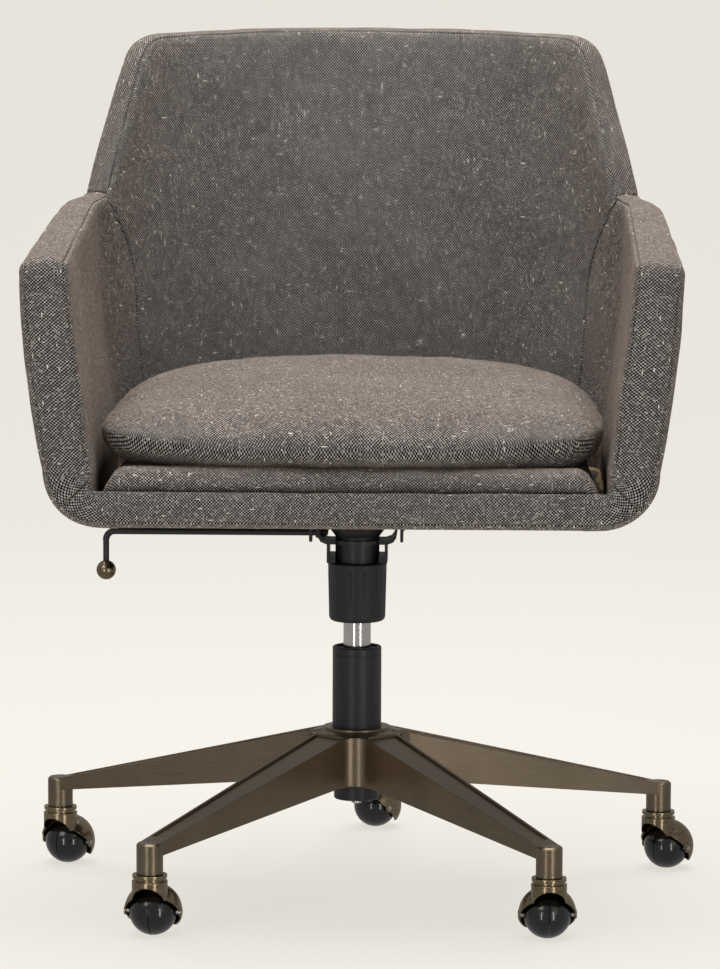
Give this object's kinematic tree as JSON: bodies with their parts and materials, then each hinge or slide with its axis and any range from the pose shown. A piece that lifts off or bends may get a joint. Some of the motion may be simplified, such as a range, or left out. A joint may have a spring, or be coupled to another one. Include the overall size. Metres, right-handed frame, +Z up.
{
  "type": "swivel office chair",
  "caption": "Upholstered bucket office chair with loose cushion, tilt head, gas lift with hand lever, star base and hooded swivel casters.",
  "frame": {"origin": "on the floor, on the swivel axis of the column", "axes": "+Z up, the seat faces -Y, +X is towards the sitter's left"},
  "size_m": [0.6865, 0.6546, 0.878],
  "materials": {
    "tweed": "black and white hopsack tweed with pale slubs",
    "cambric": "plain black dust cloth",
    "plywood": "moulded plywood",
    "bronze": "brushed antique bronze plate",
    "antique_brass": "polished antique brass",
    "black_paint": "satin black powder coat",
    "black_plastic": "fine-textured black moulding",
    "wheel_black": "gloss black nylon",
    "chrome": "hard chrome",
    "zinc": "zinc plate"
  },
  "bodies": {
    "base": {"base_star": "bronze", "column_tube": "black_paint", "guide_bush": "black_plastic"},
    "gas_rod": {"piston_rod": "chrome", "piston": "zinc", "thrust_bearing": "zinc", "retaining_clip": "zinc"},
    "tilt_head": {"pressure_tube": "chrome", "hub_tube": "black_paint", "tilt_yoke": "black_paint", "lever_bush": "black_plastic", "thrust_washer": "zinc", "tension_spring": "zinc"},
    "release_valve": {"release_pin": "zinc"},
    "lift_lever": {"lever_rod": "black_paint", "lever_ball": "antique_brass"},
    "tension_grip": {"tension_knob": "black_plastic", "knob_nut": "zinc"},
    "seat": {"seat_plate": "black_paint", "pivot_pins": "zinc", "plate_bolts": "zinc", "t_nuts": "zinc", "seat_board": "plywood", "front_rail": "plywood", "dust_cover": "cambric", "shell_frame": "plywood", "outer_cover": "tweed", "back_pad": "tweed", "arm_pad_left": "tweed", "arm_pad_right": "tweed", "rim_band": "tweed", "front_band": "tweed", "deck_pad": "tweed", "seat_cushion": "tweed"},
    "caster_1": {"stem_1": "zinc", "hood_1": "antique_brass", "axle_1": "zinc"},
    "wheel_left_1": {"wheel_left_1": "wheel_black"},
    "wheel_right_1": {"wheel_right_1": "wheel_black"},
    "caster_2": {"stem_2": "zinc", "hood_2": "antique_brass", "axle_2": "zinc"},
    "wheel_left_2": {"wheel_left_2": "wheel_black"},
    "wheel_right_2": {"wheel_right_2": "wheel_black"},
    "caster_3": {"stem_3": "zinc", "hood_3": "antique_brass", "axle_3": "zinc"},
    "wheel_left_3": {"wheel_left_3": "wheel_black"},
    "wheel_right_3": {"wheel_right_3": "wheel_black"},
    "caster_4": {"stem_4": "zinc", "hood_4": "antique_brass", "axle_4": "zinc"},
    "wheel_left_4": {"wheel_left_4": "wheel_black"},
    "wheel_right_4": {"wheel_right_4": "wheel_black"},
    "caster_5": {"stem_5": "zinc", "hood_5": "antique_brass", "axle_5": "zinc"},
    "wheel_left_5": {"wheel_left_5": "wheel_black"},
    "wheel_right_5": {"wheel_right_5": "wheel_black"}
  },
  "joints": [
    {"name": "column_swivel", "type": "hinge", "parent": "base", "child": "gas_rod", "pos_m": [0, 0, 0.1], "axis": [0, 0, 1], "continuous": true},
    {"name": "seat_lift", "type": "slide", "parent": "gas_rod", "child": "tilt_head", "axis": [0, 0, 1], "range_m": [-0.018, 0.082]},
    {"name": "lever_lift", "type": "hinge", "parent": "tilt_head", "child": "lift_lever", "pos_m": [-0.0395, 0, 0.3662], "axis": [0, 1, 0], "range_deg": [0, 6], "stiffness_Nm_per_rad": 2, "springref_deg": -5.73},
    {"name": "valve_travel", "type": "slide", "parent": "tilt_head", "child": "release_valve", "axis": [0, 0, 1], "range_m": [-0.0042, 0]},
    {"name": "tension_turn", "type": "hinge", "parent": "tilt_head", "child": "tension_grip", "pos_m": [0, 0, 0.3], "axis": [0, 0, 1], "range_deg": [-1080, 0]},
    {"name": "seat_tilt", "type": "hinge", "parent": "tilt_head", "child": "seat", "pos_m": [0, 0, 0.384], "axis": [-1, 0, 0], "range_deg": [0, 12], "stiffness_Nm_per_rad": 150, "springref_deg": -11.46},
    {"name": "caster_swivel_1", "type": "hinge", "parent": "base", "child": "caster_1", "pos_m": [-0.19397, -0.26698, 0.07], "axis": [0, 0, 1], "continuous": true},
    {"name": "wheel_left_spin_1", "type": "hinge", "parent": "caster_1", "child": "wheel_left_1", "pos_m": [-0.19162, -0.25216, 0.0235], "axis": [0.9877, -0.1564, 0], "continuous": true},
    {"name": "wheel_right_spin_1", "type": "hinge", "parent": "caster_1", "child": "wheel_right_1", "pos_m": [-0.19162, -0.25216, 0.0235], "axis": [0.9877, -0.1564, 0], "continuous": true},
    {"name": "caster_swivel_2", "type": "hinge", "parent": "base", "child": "caster_2", "pos_m": [0.19397, -0.26698, 0.07], "axis": [0, 0, 1], "continuous": true},
    {"name": "wheel_left_spin_2", "type": "hinge", "parent": "caster_2", "child": "wheel_left_2", "pos_m": [0.19279, -0.25202, 0.0235], "axis": [0.9969, 0.0785, 0], "continuous": true},
    {"name": "wheel_right_spin_2", "type": "hinge", "parent": "caster_2", "child": "wheel_right_2", "pos_m": [0.19279, -0.25202, 0.0235], "axis": [0.9969, 0.0785, 0], "continuous": true},
    {"name": "caster_swivel_3", "type": "hinge", "parent": "base", "child": "caster_3", "pos_m": [0.31385, 0.10198, 0.07], "axis": [0, 0, 1], "continuous": true},
    {"name": "wheel_left_spin_3", "type": "hinge", "parent": "caster_3", "child": "wheel_left_3", "pos_m": [0.32308, 0.1138, 0.0235], "axis": [0.788, -0.6157, 0], "continuous": true},
    {"name": "wheel_right_spin_3", "type": "hinge", "parent": "caster_3", "child": "wheel_right_3", "pos_m": [0.32308, 0.1138, 0.0235], "axis": [0.788, -0.6157, 0], "continuous": true},
    {"name": "caster_swivel_4", "type": "hinge", "parent": "base", "child": "caster_4", "pos_m": [0, 0.33, 0.07], "axis": [0, 0, 1], "continuous": true},
    {"name": "wheel_left_spin_4", "type": "hinge", "parent": "caster_4", "child": "wheel_left_4", "pos_m": [0.01229, 0.3386, 0.0235], "axis": [0.5736, -0.8192, 0], "continuous": true},
    {"name": "wheel_right_spin_4", "type": "hinge", "parent": "caster_4", "child": "wheel_right_4", "pos_m": [0.01229, 0.3386, 0.0235], "axis": [0.5736, -0.8192, 0], "continuous": true},
    {"name": "caster_swivel_5", "type": "hinge", "parent": "base", "child": "caster_5", "pos_m": [-0.31385, 0.10198, 0.07], "axis": [0, 0, 1], "continuous": true},
    {"name": "wheel_left_spin_5", "type": "hinge", "parent": "caster_5", "child": "wheel_left_5", "pos_m": [-0.30727, 0.11546, 0.0235], "axis": [0.8988, -0.4384, 0], "continuous": true},
    {"name": "wheel_right_spin_5", "type": "hinge", "parent": "caster_5", "child": "wheel_right_5", "pos_m": [-0.30727, 0.11546, 0.0235], "axis": [0.8988, -0.4384, 0], "continuous": true}
  ],
  "couplings": [
    {"joint": "valve_travel", "follows": "lever_lift", "m_per_rad": -0.0395}
  ]
}
